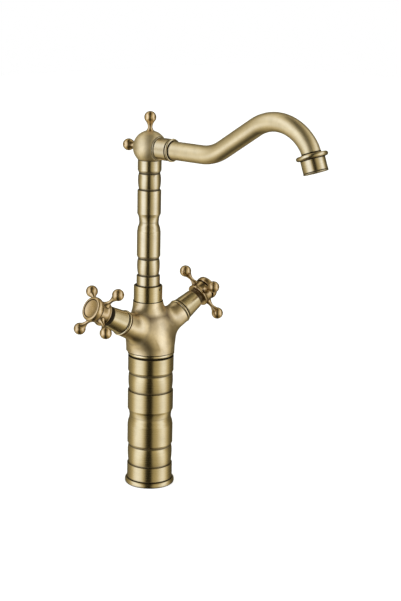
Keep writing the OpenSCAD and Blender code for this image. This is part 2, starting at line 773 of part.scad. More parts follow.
// Finial on its seat: stud, waisted neck and ball, with Z along the neck
module finial(reach) {
    r = finial_neck_d / 2;
    ball = finial_ball_d / 2;
    cup = r + 1.8;
    cup_z = reach - sqrt(ball * ball - cup * cup);
    middle = (finial_seat + cup_z) / 2;
    color(BRASS) union() {
        turned(concat(
            [[0, finial_seat - finial_stud_len + 0.3],
             [finial_stud_d / 2 - seat_gap, finial_seat - finial_stud_len + 0.3],
             [finial_stud_d / 2 - seat_gap, finial_seat]],
            swell([finial_foot_d / 2, finial_seat], [r, middle], -0.6),
            swell([r, middle + 0.4], [cup, cup_z], -0.25),
            [[0, reach]]
        ));
        translate([0, 0, reach]) sphere(d = finial_ball_d);
    }
}

// Hub that screws into the ball elbow and holds the tube, with a ring at its back and a lip in front
module spout_hub() {
    r = spout_hub_d / 2;
    back = ball_seat;
    front = ball_seat + spout_hub_len;
    ring_w = 2;
    lip_w = 2.8;
    lip_r = 1.3;
    edge = 0.9;
    tube_seat = tube_seat_d / 2;
    color(BRASS) on_spout() rotate([0, 90, 0]) turned(concat(
        [[post_bore_d / 2, back - nipple_len], [nipple_d / 2, back - nipple_len], [nipple_d / 2, back],
         [r - 0.6, back]],
        rounded([r + 0.5 - edge, back + 1], edge, -60, 60),
        [[r - 0.7, back + ring_w], [r - 0.7, back + ring_w + 0.5]],
        swell([r - 0.1, back + ring_w + 0.6], [r - 0.1, front - lip_w - 1], 0.1),
        [[r - 0.9, front - lip_w - 0.6]],
        rounded([r + 0.4 - lip_r, front - lip_r - 0.1], lip_r, -75, 75),
        [[r - 0.9, front], [r - 1.1, front - 0.8], [tube_seat, front - 0.8], [tube_seat, tube_start],
         [post_bore_d / 2, tube_start]]
    ));
}

// One stretch of the tube from its start at the origin along X, bending in the XZ plane.
// A straight stretch is a hair thicker than a bend and laps over the bends beside it.
module tube_stretch(run, lap_start, lap_end) {
    r = run[0];
    if (run[1] == 0)
        translate([-lap_start, 0, 0]) rotate([0, 90, 0])
            ring(tube_d + 2 * tube_hair, tube_bore_d - 2 * tube_hair, r + lap_start + lap_end);
    else
        mirror([0, 0, run[1] < 0 ? 1 : 0]) translate([0, 0, r]) rotate([90, 90, 0])
            rotate_extrude(angle = abs(run[1])) translate([r, 0]) difference() {
                circle(d = tube_d, $fn = 48);
                circle(d = tube_bore_d, $fn = 48);
            }
}

module spout_tube() {
    last = len(tube_runs) - 1;
    color(BRASS) on_spout() union() {
        for (i = [0 : last]) {
            at = run_start(i);
            translate([at[0], 0, at[1]]) rotate([0, -at[2], 0])
                tube_stretch(tube_runs[i], i == 0 ? 0 : tube_lap, i == last ? 0 : tube_lap);
        }
    }
}

module aerator_housing() {
    end = rim_h + aerator_len;
    edge = 0.5;
    bead = (rim_h - 0.6) / 2;
    tube_seat = tube_seat_d / 2;
    color(BRASS) on_tip() turned(concat(
        [[tube_seat, 0.4]],
        rounded([rim_d / 2 - bead, bead + 0.4], bead, -90, 90),
        [[aerator_d / 2 + 0.5, rim_h], [aerator_d / 2, rim_h + 0.5], [aerator_d / 2, end - edge],
         [aerator_d / 2 - edge, end], [insert_d / 2 + seat_gap, end], [insert_d / 2 + seat_gap, tail_len],
         [tube_seat, tail_len]]
    ));
}

module aerator_gasket() {
    color(RUBBER) on_tip() ring(insert_d, tube_bore_d, aerator_gasket_t, tail_len);
}

// Plastic flow insert: a cup whose floor is pierced by rings of small holes
module aerator_insert() {
    top = tail_len + aerator_gasket_t;
    end = rim_h + aerator_len - 1;
    floor_t = 2;
    jet_d = 1.8;
    jet_pitch = 3;
    color(PLASTIC) on_tip() difference() {
        hole(insert_d, end - top, top);
        hole(tube_bore_d, end - top - floor_t + 1, top - 1);
        hole(jet_d, floor_t + 2, end - floor_t - 1);
        for (row = [1, 2], k = [1 : 6 * row])
            rotate([0, 0, 60 * k / row]) translate([jet_pitch * row, 0, 0])
                hole(jet_d, floor_t + 2, end - floor_t - 1);
    }
}

base_gasket();
base_flange();
column();
stud_plate();
body_ring();
valve_body();
on_arm(HOT) arm_ring();  // hot_arm_ring
on_arm(HOT) cartridge();  // hot_cartridge
on_arm(HOT) seat_seal();  // hot_seat_seal
on_arm(HOT) valve_disc(disc_d, fixed_disc_z, 90);  // hot_fixed_disc
on_arm(HOT) valve_disc(moving_disc_d, moving_disc_z, 0);  // hot_moving_disc
on_arm(HOT) spindle();  // hot_spindle
on_arm(HOT) spindle_o_ring();  // hot_spindle_o_ring
on_arm(HOT) bonnet();  // hot_bonnet
on_arm(HOT) handle_hub(hot_turn);  // hot_handle_hub
on_arm(HOT) handle_spokes(hot_turn);  // hot_handle_spokes
on_arm(HOT) handle_screw();  // hot_handle_screw
on_arm(HOT) handle_cap();  // hot_handle_cap
on_arm(COLD) arm_ring();  // cold_arm_ring
on_arm(COLD) cartridge();  // cold_cartridge
on_arm(COLD) seat_seal();  // cold_seat_seal
on_arm(COLD) valve_disc(disc_d, fixed_disc_z, 90);  // cold_fixed_disc
on_arm(COLD) valve_disc(moving_disc_d, moving_disc_z, 0);  // cold_moving_disc
on_arm(COLD) spindle();  // cold_spindle
on_arm(COLD) spindle_o_ring();  // cold_spindle_o_ring
on_arm(COLD) bonnet();  // cold_bonnet
on_arm(COLD) handle_hub(cold_turn);  // cold_handle_hub
on_arm(COLD) handle_spokes(cold_turn);  // cold_handle_spokes
on_arm(COLD) handle_screw();  // cold_handle_screw
on_arm(COLD) handle_cap();  // cold_handle_cap
swivel_collar();
swivel_grub_screw();
swivel_washer();
post();
post_o_rings();
ball_elbow();
on_spout() finial(top_finial_reach);  // top_finial
on_spout() rotate([0, -90, 0]) finial(rear_finial_reach);  // rear_finial
spout_hub();
spout_tube();
aerator_housing();
aerator_gasket();
aerator_insert();
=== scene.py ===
"""Dresses the tall two-handle kitchen tap: turned and cast pieces in antique brass, studio light, camera."""

import bpy
import bmesh
import json
import math
import numpy as np
from mathutils import Matrix, Vector

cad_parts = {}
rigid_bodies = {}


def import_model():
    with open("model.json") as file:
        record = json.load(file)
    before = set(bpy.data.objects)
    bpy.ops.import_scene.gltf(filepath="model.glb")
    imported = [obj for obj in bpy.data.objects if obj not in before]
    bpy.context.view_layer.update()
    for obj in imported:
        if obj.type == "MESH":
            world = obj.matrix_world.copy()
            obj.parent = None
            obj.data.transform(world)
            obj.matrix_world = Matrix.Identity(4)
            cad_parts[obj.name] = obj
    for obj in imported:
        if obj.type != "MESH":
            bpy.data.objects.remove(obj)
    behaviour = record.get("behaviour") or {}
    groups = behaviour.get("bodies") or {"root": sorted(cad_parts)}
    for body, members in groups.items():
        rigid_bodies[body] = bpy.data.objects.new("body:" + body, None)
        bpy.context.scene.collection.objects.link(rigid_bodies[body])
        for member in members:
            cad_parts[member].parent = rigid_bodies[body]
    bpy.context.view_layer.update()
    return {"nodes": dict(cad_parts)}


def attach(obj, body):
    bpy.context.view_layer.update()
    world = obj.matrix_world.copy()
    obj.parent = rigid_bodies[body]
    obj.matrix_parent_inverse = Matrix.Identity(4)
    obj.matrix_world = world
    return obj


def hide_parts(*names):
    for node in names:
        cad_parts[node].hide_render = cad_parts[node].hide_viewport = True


MM = 0.001
TINY = 1e-6
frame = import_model()

# Places, in millimetres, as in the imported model. The arms' axes start at ARM_Z on the column's axis and rise
# by ARM_ANGLE. The post stands POST_Y behind the column, and the spout points along SWING at rest.
ARM_Z = 159.3
ARM_ANGLE = math.radians(28)
POST_Y = 6.0
BALL_Z = 355.523
SWING = math.radians(8 - 90)

# Heights where the upright pieces meet
FLANGE_TOP = 5.0
COLUMN_TOP = 139.6
BODY_FOOT = 144.6
BODY_TOP = 196.5
POST_FOOT = 212.7
POST_TOP = 343.5

# Where the pieces meet along an arm, and where the spokes cross it. The first spoke's turn is in degrees.
ARM_END = 42.0
RING_END = 46.5
BONNET_END = 67.0
HUB_END = 83.0
SPOKE_Z = 78.39
HOT_TURN, COLD_TURN = 51, 63


def axes(x, y, z, origin):
    """Matrix whose columns are a local frame's axes and origin."""
    m = Matrix.Identity(4)
    for column, v in enumerate((x, y, z, origin)):
        for row in range(3):
            m[row][column] = v[row]
    return m


def arm_frame(side):
    """Frame of the hot arm, side -1, or the cold arm, side 1, with Z along the arm."""
    a = side * (math.pi / 2 - ARM_ANGLE)
    return axes((math.cos(a), 0, -math.sin(a)), (0, 1, 0), (math.sin(a), 0, math.cos(a)), (0, 0, ARM_Z))


def spoke_frame(side, turn):
    """Frame of one spoke, with Z along the spoke, turned by so many degrees about its arm."""
    t = math.radians(turn)
    return arm_frame(side) @ axes((0, 0, -1), (-math.sin(t), math.cos(t), 0), (math.cos(t), math.sin(t), 0),
                                  (0, 0, SPOKE_Z))


def moved(place, z):
    """A place moved along its own Z axis."""
    return place @ Matrix.Translation((0, 0, z))


UP = Matrix.Identity(4)
POST = Matrix.Translation((0, POST_Y, 0))
SPOUT = Matrix.Translation((0, POST_Y, BALL_Z)) @ Matrix.Rotation(SWING, 4, "Z")
ALONG = SPOUT @ Matrix.Rotation(math.pi / 2, 4, "Y")


# Outlines of turned pieces

def spline(points, steps=8):
    """Smooth curve through points (r, z), as corners without rounding."""
    p = [np.array(q, float) for q in points]
    p = [2 * p[0] - p[1]] + p + [2 * p[-1] - p[-2]]
    corners = []
    for i in range(1, len(p) - 2):
        a, b, c, d = p[i - 1:i + 3]
        for k in range(steps):
            t = k / steps
            q = 0.5 * (2 * b + (c - a) * t + (2 * a - 5 * b + 4 * c - d) * t * t
                       + (3 * b - a - 3 * c + d) * t ** 3)
            corners.append((q[0], q[1], 0))
    corners.append((p[-2][0], p[-2][1], 0))
    return corners


def arc(r, z, radius, start, end, steps=10):
    """Part of a circle about (r, z), from one angle to another in degrees."""
    corners = []
    for k in range(steps + 1):
        a = math.radians(start + (end - start) * k / steps)
        corners.append((r + radius * math.cos(a), z + radius * math.sin(a), 0))
    return corners


def rounded_corner(before, here, after, rounding):
    """Points of one corner of an outline: the corner itself, or the arc that rounds it."""
    before, after = before - here, after - here
    room_before, room_after = np.linalg.norm(before), np.linalg.norm(after)
    if rounding <= 0 or min(room_before, room_after) < TINY:
        return [here]
    before, after = before / room_before, after / room_after
    angle = math.acos(float(np.clip(before @ after, -1, 1)))
    nearly_straight = math.pi - 0.02
    if angle > nearly_straight:
        return [here]
    most = 0.49 * min(room_before, room_after)
    cut = min(rounding / math.tan(angle / 2), most)
    radius = cut * math.tan(angle / 2)
    middle = before + after
    centre = here + middle / np.linalg.norm(middle) * radius / math.sin(angle / 2)
    start, end = here + before * cut - centre, here + after * cut - centre
    step = 0.3
    steps = max(2, int((math.pi - angle) / step))
    points = []
    for k in range(steps + 1):
        t = k / steps
        v = start * (1 - t) + end * t
        points.append(centre + v / np.linalg.norm(v) * radius)
    return points


def outline(corners):
    """Points (r, z) of an outline with corners (r, z, rounding)."""
    at = [np.array(corner[:2], float) for corner in corners]
    points = [at[0]]
    for i in range(1, len(corners) - 1):
        points += rounded_corner(at[i - 1], at[i], at[i + 1], corners[i][2])
    points.append(at[-1])
    kept = [points[0]]
    for q in points[1:]:
        if np.linalg.norm(q - kept[-1]) > 1e-4:
            kept.append(q)
    return np.array(kept)


def lengths(p):
    """Length of an outline up to each of its points."""
    return np.concatenate([[0], np.cumsum(np.linalg.norm(np.diff(p, axis=0), axis=1))])


def groove_shade(p, grooves, seams, reach=2.4):
    """Painted shade on each point of an outline, from 0 to 1.

    It grows with a groove's depth below what stands within reach on both sides, and is full where that depth
    is grooves or more. Round each of the seams (r, z, width) it is full at its centre and gone at that width.
    """
    at = lengths(p)
    shade_amount = np.zeros(len(p))
    if grooves:
        fine = np.linspace(0, at[-1], int(at[-1] / 0.1) + 2)
        r = np.interp(fine, at, p[:, 0])
        for i, s in enumerate(at):
            before = r[(fine >= s - reach) & (fine <= s)].max()
            after = r[(fine >= s) & (fine <= s + reach)].max()
            shade_amount[i] = (min(before, after) - p[i, 0]) / grooves
    fade = 0.4
    for r, z, width in seams:
        shade_amount = np.maximum(shade_amount, (width - np.hypot(p[:, 0] - r, p[:, 1] - z)) / fade)
    return np.clip(shade_amount, 0, 1)


# Meshes

def add_object(name, data):
    obj = bpy.data.objects.new(name, data)
    bpy.context.scene.collection.objects.link(obj)
    return obj


def add_painted_shade(mesh, painted_shade):
    """Stores how much painted shade each point of a mesh gets, which its material reads."""
    layer = mesh.attributes.new("painted_shade", "FLOAT", "POINT")
    layer.data.foreach_set("value", np.asarray(painted_shade, np.float32))


def corner_points(mesh):
    """Index of the point at each corner of the faces."""
    index = np.empty(len(mesh.loops), np.int32)
    mesh.loops.foreach_get("vertex_index", index)
    return index


def ring_faces(radii, sides):
    """Faces between rings of these radii: quads, and triangles round a ring that is only a point."""
    faces = []
    for i, (low, high) in enumerate(zip(radii, radii[1:])):
        for k in range(sides):
            a = i * (sides + 1) + k
            b = a + sides + 1
            if low < TINY:
                faces.append([a, b + 1, b])
            elif high < TINY:
                faces.append([a, a + 1, b + 1])
            else:
                faces.append([a, a + 1, b + 1, b])
    return faces


def ring_piece(name, place, points, normals, faces, along, painted_shade=None):
    """Piece of rings about the Z axis of place, or about a path, with what its material needs.

    along is each ring's place along the outline. The UV map turn and the attribute brush both follow the
    rings, so that the polish lines run round the piece.
    """
    m = np.array(place)
    mesh = bpy.data.meshes.new(name)
    mesh.from_pydata(((points @ m[:3, :3].T + m[:3, 3]) * MM).tolist(), [], faces)
    mesh.update()
    mesh.shade_smooth()
    sides = len(points) // len(along) - 1
    theta = np.tile(np.arange(sides + 1) * 2 * math.pi / sides, len(along))
    run = np.repeat(along, sides + 1)
    layer = mesh.attributes.new("brush", "FLOAT_VECTOR", "POINT")
    brush = np.stack([np.cos(theta), np.sin(theta), run], axis=1)
    layer.data.foreach_set("vector", brush.astype(np.float32).ravel())
    if painted_shade is not None:
        add_painted_shade(mesh, np.repeat(painted_shade, sides + 1))
    uv = np.stack([theta / (2 * math.pi), run * MM * 10], axis=1)
    layer = mesh.uv_layers.new(name="turn")
    layer.data.foreach_set("uv", uv.astype(np.float32)[corner_points(mesh)].ravel())
    mesh.normals_split_custom_set_from_vertices((normals @ m[:3, :3].T).tolist())
    return add_object(name, mesh)


def turned(name, corners, place, sides=128, grooves=0.0, seams=()):
    """Piece turned about the Z axis of place, from an outline of corners (r, z, rounding)."""
    p = outline(corners)
    # Normals in the outline's plane: each stretch counts by its length, so flat stretches stay flat.
    # The outline runs up the outside, so the faces and the normals look outwards.
    d = np.diff(p, axis=0)
    flat = np.stack([d[:, 1], -d[:, 0]], axis=1)
    slant = np.zeros_like(p)
    slant[:-1] += flat
    slant[1:] += flat
    slant /= np.maximum(np.linalg.norm(slant, axis=1), 1e-9)[:, None]
    theta = np.arange(sides + 1) * 2 * math.pi / sides

    def revolve(plane):
        r, z = plane[:, 0], plane[:, 1]
        rings = [np.outer(r, np.cos(theta)), np.outer(r, np.sin(theta)), np.outer(z, np.ones(sides + 1))]
        return np.stack(rings, axis=2).reshape(-1, 3)

    # The grooves and the seams get painted shade, which the material reads as an attribute.
    return ring_piece(name, place, revolve(p), revolve(slant), ring_faces(p[:, 0], sides), lengths(p),
                      groove_shade(p, grooves, seams))


def swept(name, path, radius, bore, place, sides=96):
    """Tube round a path in the XZ plane of place, open at both ends."""
    rows = [(q, radius, 1) for q in path] + [(q, bore, -1) for q in reversed(path)] + [(path[0], radius, 1)]
    theta = np.arange(sides + 1) * 2 * math.pi / sides
    points = []
    normals = []
    for (x, z, a), r, out in rows:
        across = np.outer(np.cos(theta), (0, 1, 0)) + np.outer(np.sin(theta), (-math.sin(a), 0, math.cos(a)))
        points.append(np.array((x, 0, z)) + across * r)
        normals.append(across * out)
    # The brush lines move on a little more at each ring, also where two rings share the tube's end
    extra = 0.2
    along = lengths([(x, z) for (x, z, _), _, _ in rows]) + extra * np.arange(len(rows))
    faces = ring_faces([r for _, r, _ in rows], sides)
    return ring_piece(name, place, np.vstack(points), np.vstack(normals), faces, along)


# Materials

def node_adder(tree):
    """Function that adds a node with its settings. An input is a value, or the socket that it comes from."""
    def add(kind, inputs=None, **settings):
        node = tree.nodes.new("ShaderNode" + kind)
        for key, value in settings.items():
            setattr(node, key, value)
        for key, value in (inputs or {}).items():
            if isinstance(value, bpy.types.NodeSocket):
                tree.links.new(value, node.inputs[key])
            else:
                node.inputs[key].default_value = value
        return node
    return add


def new_material(name):
    """Empty material, and the function that adds its nodes."""
    material = bpy.data.materials.new(name)
    material.use_nodes = True
    material.node_tree.nodes.clear()
    return material, node_adder(material.node_tree)


def brushed_metal(name, bright, dark, roughness, along=0.0, turned_piece=True, grain=1.0, stain=1.0,
                  hollow=3.5, shade=(0.42, 0.88)):
    """Lacquered antique brass: brush lines, cloudy patina, and painted shade in recesses, grooves and seams.

    along above 0 spreads the light along the piece, and below 0 round it. grain is the strength of the brush
    lines and stain that of the patina. hollow is the size, in millimetres, of the recesses that get painted
    shade, and shade is how open a place is where its painted shade is darkest and where it is bright.
    """
    material, add = new_material(name)
    place = add("TexCoord").outputs["Object"]
    if turned_piece:
        lines_place = add("Attribute", attribute_name="brush").outputs["Vector"]
        lines_scale = (0.7, 0.7, 3.2)
    else:
        lines_place = place
        lines_scale = (900, 900, 900)
    stretch = add("Mapping", {"Vector": lines_place, "Scale": lines_scale})
    lines = add("TexNoise", {"Vector": stretch.outputs[0], "Scale": 1.0, "Detail": 6.0, "Roughness": 0.7})
    lines = lines.outputs["Fac"]
    cloud = add("TexNoise", {"Vector": place, "Scale": 95.0, "Detail": 4.0, "Roughness": 0.55})
    # Painted shade: ambient occlusion darkens the recesses, and the attribute below darkens grooves, seams and
    # hollows
    recess_shade = add("AmbientOcclusion", {"Distance": hollow * MM}, samples=8)
    painted_shade = add("Attribute", attribute_name="painted_shade").outputs["Fac"]

    def ranged(value, low, high, at_low, at_high):
        return add("MapRange", {"Value": value, "From Min": low, "From Max": high,
                                "To Min": at_low, "To Max": at_high}).outputs[0]

    # How bright the metal is: less in the patina and the lines, and painted shade in recesses and grooves
    tint = ranged(cloud.outputs["Fac"], 0.32, 0.68, 1.0 - 0.22 * stain, 1.0)
    streak = ranged(lines, 0.3, 0.7, 1.0 - 0.16 * grain, 1.0)
    open_air = ranged(recess_shade.outputs["AO"], *shade, 0.0, 1.0)
    shaded = ranged(painted_shade, 0.0, 1.0, 1.0, 0.08)
    amount = tint
    for factor in (streak, open_air, shaded):
        amount = add("Math", {0: amount, 1: factor}, operation="MULTIPLY").outputs[0]
    colour = add("Mix", {"A": (*dark, 1), "B": (*bright, 1), "Factor": amount}, data_type="RGBA")

    rough = ranged(lines, 0.3, 0.7, roughness + 0.05, roughness - 0.04)
    matt = add("Mix", {"A": rough, "B": 0.9, "Factor": painted_shade})
    bump = add("Bump", {"Height": lines, "Strength": 0.12 * grain, "Distance": 0.00004})
    shader = {"Metallic": 1.0, "Base Color": colour.outputs["Result"], "Roughness": matt.outputs["Result"],
              "Normal": bump.outputs[0]}
    if along:
        shader["Anisotropic"] = abs(along)
        shader["Anisotropic Rotation"] = 0.25 if along > 0 else 0.0
        shader["Tangent"] = add("Tangent", direction_type="UV_MAP", uv_map="turn").outputs[0]
    add("OutputMaterial", {"Surface": add("BsdfPrincipled", shader).outputs[0]})
    return material


def plain_material(name, low, high, roughness, metallic=0.0, size=600.0):
    """Steel, rubber, plastic or ceramic with a fine mottled grain."""
    material, add = new_material(name)
    place = add("TexCoord").outputs["Object"]
    noise = add("TexNoise", {"Vector": place, "Scale": size, "Detail": 5.0}).outputs["Fac"]
    colour = add("Mix", {"A": (*low, 1), "B": (*high, 1), "Factor": noise}, data_type="RGBA")
    rough = add("MapRange", {"Value": noise, "To Min": roughness - 0.06, "To Max": roughness + 0.06})
    bump = add("Bump", {"Height": noise, "Strength": 0.3, "Distance": 0.00003})
    shader = add("BsdfPrincipled", {"Metallic": metallic, "Base Color": colour.outputs["Result"],
                                    "Roughness": rough.outputs[0], "Normal": bump.outputs[0]})
    add("OutputMaterial", {"Surface": shader.outputs[0]})
    return material


# Dark end of the turned brass: the brown of its patina, and of the painted shade in recesses and grooves
PATINA_AND_SHADE_BROWN = (0.035, 0.022, 0.01)
TURNED = brushed_metal("turned_brass", (0.70, 0.545, 0.30), PATINA_AND_SHADE_BROWN, roughness=0.28, along=0.78,
                       stain=0.4)
POST_BRASS = brushed_metal("post_brass", (0.73, 0.585, 0.36), PATINA_AND_SHADE_BROWN, roughness=0.29, along=0.75,
                           stain=0.4)
WARM = brushed_metal("handle_brass", (0.71, 0.50, 0.26), (0.04, 0.017, 0.006), roughness=0.27, along=0.4,
                     shade=(0.42, 1.0))
# Wide ambient occlusion paints shade into the casting's saddles
CAST = brushed_metal("cast_brass", (0.87, 0.675, 0.395), (0.065, 0.027, 0.009), roughness=0.36,
                     turned_piece=False, grain=0.6, stain=1.4, hollow=12, shade=(0.52, 1.0))
BALL = brushed_metal("ball_brass", (0.92, 0.735, 0.44), (0.04, 0.026, 0.012), roughness=0.5, hollow=6,
                     shade=(0.4, 0.95))
TUBE = brushed_metal("tube_brass", (0.77, 0.61, 0.355), (0.045, 0.03, 0.014), roughness=0.38, along=-0.3,
                     grain=0.6, stain=0.6)
EDGE = brushed_metal("ring_brass", (0.88, 0.70, 0.42), (0.03, 0.02, 0.009), roughness=0.27, along=0.5,
                     grain=0.6, shade=(0.3, 0.7))
# Nearly black brass for the ring that paints the shade of the gap at the tube's end
GAP_SHADE = brushed_metal("gap_shade_brass", (0.10, 0.075, 0.04), (0.03, 0.02, 0.01), roughness=0.45, along=0.3,
                     stain=0.5)
INNER = brushed_metal("inner_brass", (0.62, 0.50, 0.27), (0.2, 0.15, 0.07), roughness=0.35,
                      turned_piece=False)
STEEL = plain_material("steel", (0.42, 0.42, 0.42), (0.58, 0.58, 0.58), roughness=0.35, metallic=1.0)
BLACK_STEEL = plain_material("blackened_steel", (0.05, 0.045, 0.04), (0.10, 0.09, 0.08), roughness=0.4,
                             metallic=1.0)
RUBBER = plain_material("black_rubber", (0.012, 0.012, 0.012), (0.03, 0.03, 0.03), roughness=0.75,
                        size=1500.0)
PLASTIC = plain_material("pale_plastic", (0.62, 0.62, 0.60), (0.72, 0.72, 0.70), roughness=0.45, size=1500.0)
GREY_PLASTIC = plain_material("grey_plastic", (0.05, 0.05, 0.05), (0.08, 0.08, 0.08), roughness=0.5,
                              size=1500.0)
CERAMIC = plain_material("white_ceramic", (0.80, 0.80, 0.78), (0.88, 0.88, 0.86), roughness=0.25,
                         size=2000.0)


def finish_piece(obj, material, body, node):
    """Gives a piece its material and body, and the node that it stands for."""
    obj.data.materials.append(material)
    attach(obj, body)
    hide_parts(node)


# Column, foot and collar

def waisted_outline(heights, b, g, m, w, low, lip):
    """Outer outline of the column or the post, from its lowest band to its highest.

    heights says where its parts meet, from the bottom up. b, g, m and w are the radii of the bands, the
    grooves beside them, the barrels' middles and the waist. low is how far up its own stretch the waist is
    narrowest, and lip rounds the bands' edges.
    """
    barrel_1, barrel_1_top, band_2, waist_foot, waist_top, band_3, barrel_2, barrel_2_top, band_4 = heights

    def barrel_curve(z0, z1):
        span = z1 - z0
        return spline([(g, z0 + 0.85), (g + (m - g) * 0.70, z0 + span * 0.29), (m, z0 + span * 0.6),
                       (g + (m - g) * 0.74, z0 + span * 0.86), (g, z1)])

    span = waist_top - waist_foot
    waist_curve = spline([(b - 0.22, waist_foot + 0.25), (b - (b - w) * 0.30, waist_foot + span * 0.22),
                          (b - (b - w) * 0.86, waist_foot + span * 0.46), (w, waist_foot + span * low),
                          (w + (b - w) * 0.14, waist_foot + span * 0.84), (w + (b - w) * 0.36, waist_top)])
    return ([(b, barrel_1, lip), (g - 0.1, barrel_1 + 0.05, 0.15)]
            + barrel_curve(barrel_1, barrel_1_top)
            + [(g + 0.05, barrel_1_top + 0.25, 0.1), (b, band_2, 2 * lip), (b, waist_foot, 0.6 * lip)]
            + waist_curve
            + [(b, band_3, 3 * lip), (b, barrel_2, lip), (g - 0.1, barrel_2 + 0.05, 0.15)]
            + barrel_curve(barrel_2, barrel_2_top)
            + [(g + 0.05, barrel_2_top + 0.25, 0.1), (b, band_4, 2 * lip)])


FLANGE_R = 26.0
FLANGE_BORE_R = 22.1
foot = turned("foot_flange", [(FLANGE_BORE_R, 0.05, 0), (FLANGE_R - 0.3, 0.05, 0.4), (FLANGE_R, 1.0, 0.5),
                              (FLANGE_R, 3.4, 1.3), (FLANGE_R - 1.1, FLANGE_TOP, 0.7),
                              (FLANGE_BORE_R, FLANGE_TOP, 0)],
              UP, 160, seams=[(FLANGE_BORE_R, FLANGE_TOP, 2.4)])
finish_piece(foot, TURNED, "base_body", "base_flange")

COLUMN_R = 23.8
COLUMN_BORE_R = 20.0
COLUMN_FOOT_R = 21.95
COLUMN_FOOT_BORE_R = 17.0
COLUMN_HEIGHTS = (21.2, 42.1, 44.6, 64.6, 79.2, 81.7, 101.6, 121.0, 123.5)
column = turned("column_shell",
                [(COLUMN_FOOT_BORE_R, 6.0, 0), (COLUMN_FOOT_BORE_R, 0.5, 0.1), (COLUMN_FOOT_R, 0.5, 0.1),
                 (COLUMN_FOOT_R, FLANGE_TOP + 0.02, 0), (COLUMN_R - 0.2, FLANGE_TOP + 0.02, 0.2),
                 (COLUMN_R, FLANGE_TOP + 0.6, 0.1), (COLUMN_R, FLANGE_TOP + 1.6, 0)]
                + waisted_outline(COLUMN_HEIGHTS, b=COLUMN_R, g=22.4, m=23.35, w=21.85, low=0.66, lip=0.28)
                + [(COLUMN_R, COLUMN_TOP - 0.9, 0), (COLUMN_R, COLUMN_TOP - 0.3, 0.1),
                   (COLUMN_R - 0.2, COLUMN_TOP, 0.1), (COLUMN_BORE_R + 0.05, COLUMN_TOP, 0),
                   (COLUMN_BORE_R, 6.05, 0), (COLUMN_FOOT_BORE_R, 6.0, 0)],
                UP, 160, grooves=0.95,
                seams=[(COLUMN_R, FLANGE_TOP + 0.1, 1.2), (COLUMN_R, COLUMN_TOP + 0.1, 0.9)])
finish_piece(column, TURNED, "base_body", "column")

BEAD_LENGTH = BODY_FOOT - COLUMN_TOP
bead = turned("body_bead",
              [(COLUMN_BORE_R + 0.05, 0.05, 0), (22.6, 0.05, 0.1), (22.6, 0.9, 0.1), (22.9, 1.05, 0.1)]
              + arc(22.6, 2.9, 1.75, -75, 70)
              + [(22.9, BEAD_LENGTH - 0.15, 0.1), (22.7, BEAD_LENGTH - 0.05, 0.05),
                 (COLUMN_BORE_R + 0.05, BEAD_LENGTH - 0.05, 0)],
              moved(UP, COLUMN_TOP), 160, seams=[(22.7, 0.5, 0.9), (22.8, BEAD_LENGTH, 0.4)])
finish_piece(bead, EDGE, "base_body", "body_ring")


def pierce(obj, cutter, place):
    """Cuts a hole, with the cutter's shape, in a piece turned about the Z axis of place."""
    cut = obj.modifiers.new("hole", "BOOLEAN")
    cut.operation = "DIFFERENCE"
    cut.solver = "EXACT"
    cut.object = cutter
    whole = obj.data
    mesh = bpy.data.meshes.new_from_object(obj.evaluated_get(bpy.context.evaluated_depsgraph_get()))
    obj.modifiers.clear()
    obj.data = mesh
    bpy.data.meshes.remove(whole)
    bpy.data.objects.remove(cutter)
    mesh.shade_smooth()
    mesh.set_sharp_from_angle(angle=0.6)
    # The straight sides keep the round piece's own normals, whatever way the cut divided them
    normals = np.empty(len(mesh.loops) * 3)
    mesh.corner_normals.foreach_get("vector", normals)
    normals = normals.reshape(-1, 3)
    axis = np.array(place.col[2][:3])
    origin = np.array(place.translation)
    level, nearly_outwards = 0.01, 0.98
    for face in mesh.polygons:
        flat = np.array(face.normal)
        if abs(flat @ axis) > level:
            continue
        for k in face.loop_indices:
            out = np.array(mesh.vertices[mesh.loops[k].vertex_index].co) / MM - origin
            out -= axis * (out @ axis)
            out /= np.linalg.norm(out)
            if abs(out @ flat) > nearly_outwards:
                normals[k] = out * math.copysign(1, out @ flat)
    mesh.normals_split_custom_set(normals.tolist())


COLLAR_R = 14.8
COLLAR_BORE_R = 10.1
COLLAR_SPIGOT_R = 12.4
COLLAR_FOOT = -5.9
COLLAR_TOP = 16.5
COLLAR_FLOOR = 15.3
collar = turned("collar_shell",
                [(COLLAR_BORE_R, COLLAR_FOOT, 0), (COLLAR_SPIGOT_R, COLLAR_FOOT, 0),
                 (COLLAR_SPIGOT_R, 0.05, 0), (COLLAR_R - 0.6, 0.05, 0.3), (COLLAR_R, 0.6, 0.3),
                 (COLLAR_R, 1.5, 0), (COLLAR_R, COLLAR_TOP - 0.5, 0.4), (COLLAR_R - 0.5, COLLAR_TOP, 0.4),
                 (13.4, COLLAR_TOP, 0.25), (13.2, COLLAR_FLOOR, 0), (COLLAR_BORE_R, COLLAR_FLOOR, 0),
                 (COLLAR_BORE_R, COLLAR_FOOT, 0)],
                moved(POST, BODY_TOP), seams=[(COLLAR_R - 0.5, 0, 0.6), (13.2, COLLAR_FLOOR + 0.2, 1.2)])
GRUB_Z = 209.8
GRUB_R = 1.55
GRUB_SIDE = math.radians(16 - 90)
GRUB = moved(POST, GRUB_Z) @ Matrix.Rotation(GRUB_SIDE, 4, "Z") @ Matrix.Rotation(math.pi / 2, 4, "Y")
# The drill is fully darkened with painted shade, for the walls of the hole that it cuts
drill = turned("grub_drill", [(0, 11, 0), (GRUB_R, 11, 0), (GRUB_R, 18, 0), (0, 18, 0)], GRUB, 24,
               seams=[(GRUB_R, 13, 6)])
pierce(collar, drill, POST)
finish_piece(collar, TURNED, "base_body", "swivel_collar")

# Valve body: one smooth casting of a core, a rounded foot, two arms and a neck

